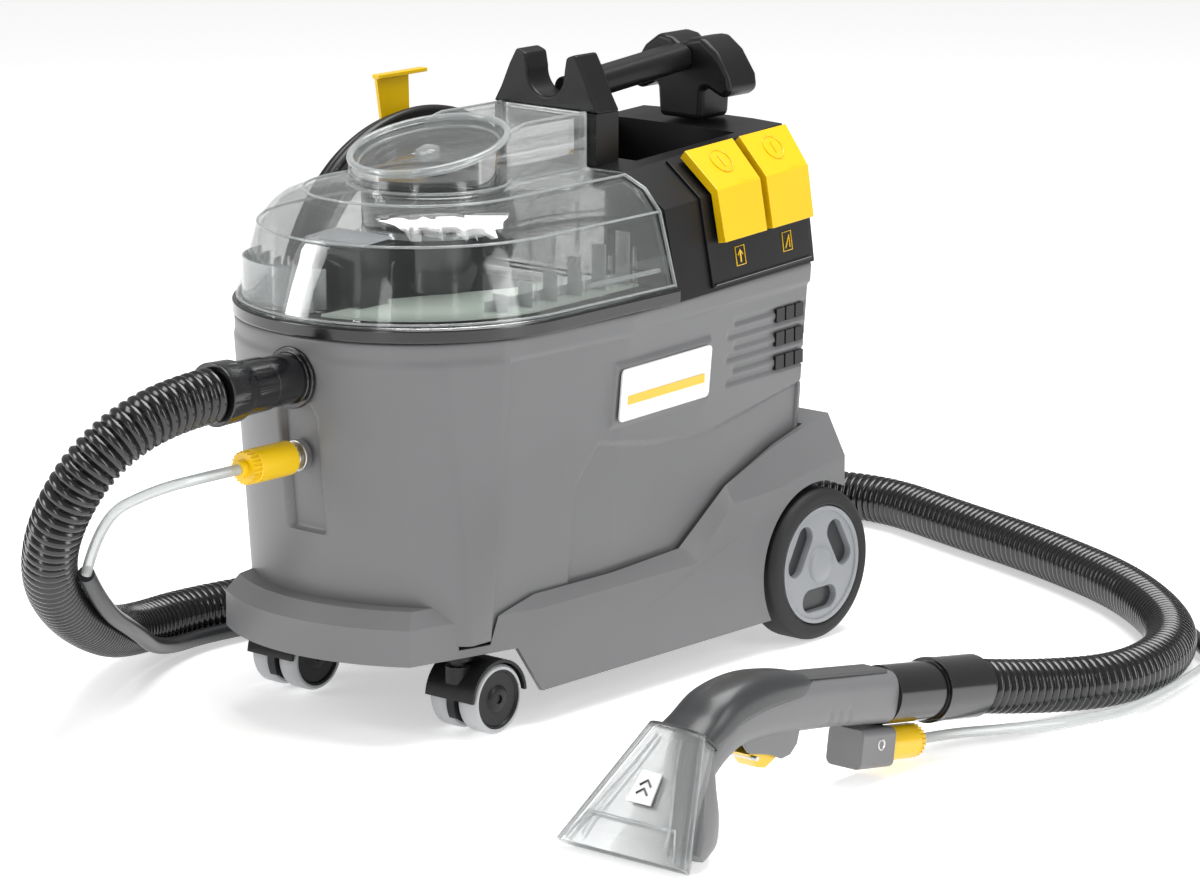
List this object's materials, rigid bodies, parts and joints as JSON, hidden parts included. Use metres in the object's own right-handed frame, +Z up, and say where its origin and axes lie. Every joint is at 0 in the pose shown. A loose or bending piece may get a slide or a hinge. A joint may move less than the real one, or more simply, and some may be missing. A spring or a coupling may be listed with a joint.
{
  "type": "spot extractor",
  "caption": "Wheeled spray-extraction spot cleaner with clear tank lid, suction hose, cord on hooks and a clear-headed hand tool.",
  "frame": {"origin": "on the floor, in the machine's middle plane, under the lid drum's rear; +Z up", "axes": "+X to the side with the switches and label, -Y to the front with the hose port, +Z up"},
  "size_m": [0.6707, 0.9658, 0.444],
  "materials": {
    "grey_plastic": "satin mid-grey moulded plastic",
    "black_plastic": "fine-textured black moulded plastic",
    "gloss_black": "glossy black moulded plastic",
    "yellow_plastic": "glossy yellow moulded plastic",
    "clear_plastic": "clear polycarbonate",
    "tank_plastic": "translucent pale green-white plastic",
    "tyre_rubber": "black rubber tyre",
    "rim_plastic": "light grey plastic rim",
    "tread_grey": "soft grey caster tread",
    "steel": "zinc-plated steel",
    "dark_grey": "dark grey plastic",
    "hose_black": "ribbed glossy black hose",
    "tube_clear": "clear soft tube",
    "sleeve_grey": "grey flexible sleeve",
    "cord_rubber": "black rubber cable",
    "white_label": "white label plate",
    "grip_rubber": "textured soft grip"
  },
  "bodies": {
    "machine": {"base_plate": "black_plastic", "chassis": "grey_plastic", "cord_coil": "cord_rubber", "cord_gland": "black_plastic", "cord_lead": "cord_rubber", "cord_tail": "cord_rubber", "fresh_tank": "tank_plastic", "front_saddle": "black_plastic", "grip_pad": "grip_rubber", "handle_bar": "black_plastic", "head_back": "grey_plastic", "head_window": "clear_plastic", "hose_cuff": "gloss_black", "label_plate": "white_label", "lower_hook": "black_plastic", "lower_housing": "grey_plastic", "machine_coupling": "yellow_plastic", "mains_plug": "black_plastic", "rear_axle": "steel", "rear_saddle": "black_plastic", "spray_jet": "yellow_plastic", "spray_nipple": "steel", "spray_pump": "dark_grey", "spray_strip": "sleeve_grey", "spray_tube_front": "tube_clear", "spray_tube_tool": "tube_clear", "suction_hose": "hose_black", "suction_port": "gloss_black", "switch_modules": "black_plastic", "switch_panel": "black_plastic", "tool_coupling": "yellow_plastic", "tool_cuff": "gloss_black", "tool_handle": "grey_plastic", "tool_neck": "dark_grey", "top_housing": "black_plastic", "trigger_guard": "grey_plastic", "turbine_housing": "black_plastic", "turbine_motor": "steel", "valve_block": "grey_plastic", "vent_grille": "black_plastic"},
    "wheel_right": {"tyre_right": "tyre_rubber", "rim_right": "rim_plastic"},
    "wheel_left": {"tyre_left": "tyre_rubber", "rim_left": "rim_plastic"},
    "caster_right": {"caster_fork_right": "black_plastic"},
    "caster_left": {"caster_fork_left": "black_plastic"},
    "caster_roll_right": {"caster_wheels_right": "tread_grey"},
    "caster_roll_left": {"caster_wheels_left": "tread_grey"},
    "tank": {"waste_tank": "tank_plastic", "tank_rim": "gloss_black", "tank_deck": "clear_plastic", "standpipe": "gloss_black", "inlet_block": "gloss_black"},
    "lid": {"tank_lid": "clear_plastic"},
    "float": {"float_ball": "white_label"},
    "fan": {"turbine_fan": "black_plastic"},
    "vacuum_switch": {"vacuum_pad": "yellow_plastic"},
    "spray_switch": {"spray_pad": "yellow_plastic"},
    "hook": {"cord_hook": "yellow_plastic"},
    "trigger": {"tool_trigger": "yellow_plastic"}
  },
  "joints": [
    {"name": "wheel_right_spin", "type": "hinge", "parent": "machine", "child": "wheel_right", "pos_m": [0.1038, 0.112, 0.0566], "axis": [1, 0, 0], "continuous": true},
    {"name": "wheel_left_spin", "type": "hinge", "parent": "machine", "child": "wheel_left", "pos_m": [-0.1038, 0.112, 0.0566], "axis": [1, 0, 0], "continuous": true},
    {"name": "caster_right_swivel", "type": "hinge", "parent": "machine", "child": "caster_right", "pos_m": [0.086, -0.248, 0.057], "axis": [0, 0, 1], "continuous": true},
    {"name": "caster_left_swivel", "type": "hinge", "parent": "machine", "child": "caster_left", "pos_m": [-0.086, -0.248, 0.057], "axis": [0, 0, 1], "continuous": true},
    {"name": "caster_right_spin", "type": "hinge", "parent": "caster_right", "child": "caster_roll_right", "pos_m": [0.086, -0.23, 0.0245], "axis": [1, 0, 0], "continuous": true},
    {"name": "caster_left_spin", "type": "hinge", "parent": "caster_left", "child": "caster_roll_left", "pos_m": [-0.086, -0.23, 0.0245], "axis": [1, 0, 0], "continuous": true},
    {"name": "tank_lift", "type": "slide", "parent": "machine", "child": "tank", "axis": [0, 0, 1], "range_m": [0, 0.15]},
    {"name": "lid_lift", "type": "slide", "parent": "tank", "child": "lid", "axis": [0, 0, 1], "range_m": [0, 0.12]},
    {"name": "float_rise", "type": "slide", "parent": "tank", "child": "float", "axis": [0, 0, 1], "range_m": [0, 0.1]},
    {"name": "fan_spin", "type": "hinge", "parent": "machine", "child": "fan", "pos_m": [0, 0.03, 0.16], "axis": [0, 0, 1], "continuous": true},
    {"name": "vacuum_switch_rock", "type": "hinge", "parent": "machine", "child": "vacuum_switch", "pos_m": [0.10942, -0.006, 0.34716], "axis": [-0.1227, 0.9922, 0.0213], "range_deg": [0, 4]},
    {"name": "spray_switch_rock", "type": "hinge", "parent": "machine", "child": "spray_switch", "pos_m": [0.10151, 0.058, 0.34854], "axis": [-0.1227, 0.9922, 0.0213], "range_deg": [0, 4]},
    {"name": "cord_hook_turn", "type": "hinge", "parent": "machine", "child": "hook", "pos_m": [-0.128, -0.045, 0.347], "axis": [1, 0, 0], "range_deg": [0, 180]},
    {"name": "trigger_pull", "type": "hinge", "parent": "machine", "child": "trigger", "pos_m": [0.362, -0.278, 0.044], "axis": [1, 0, 0], "range_deg": [0, 8], "stiffness_Nm_per_rad": 0.4, "springref_deg": -8.59}
  ]
}
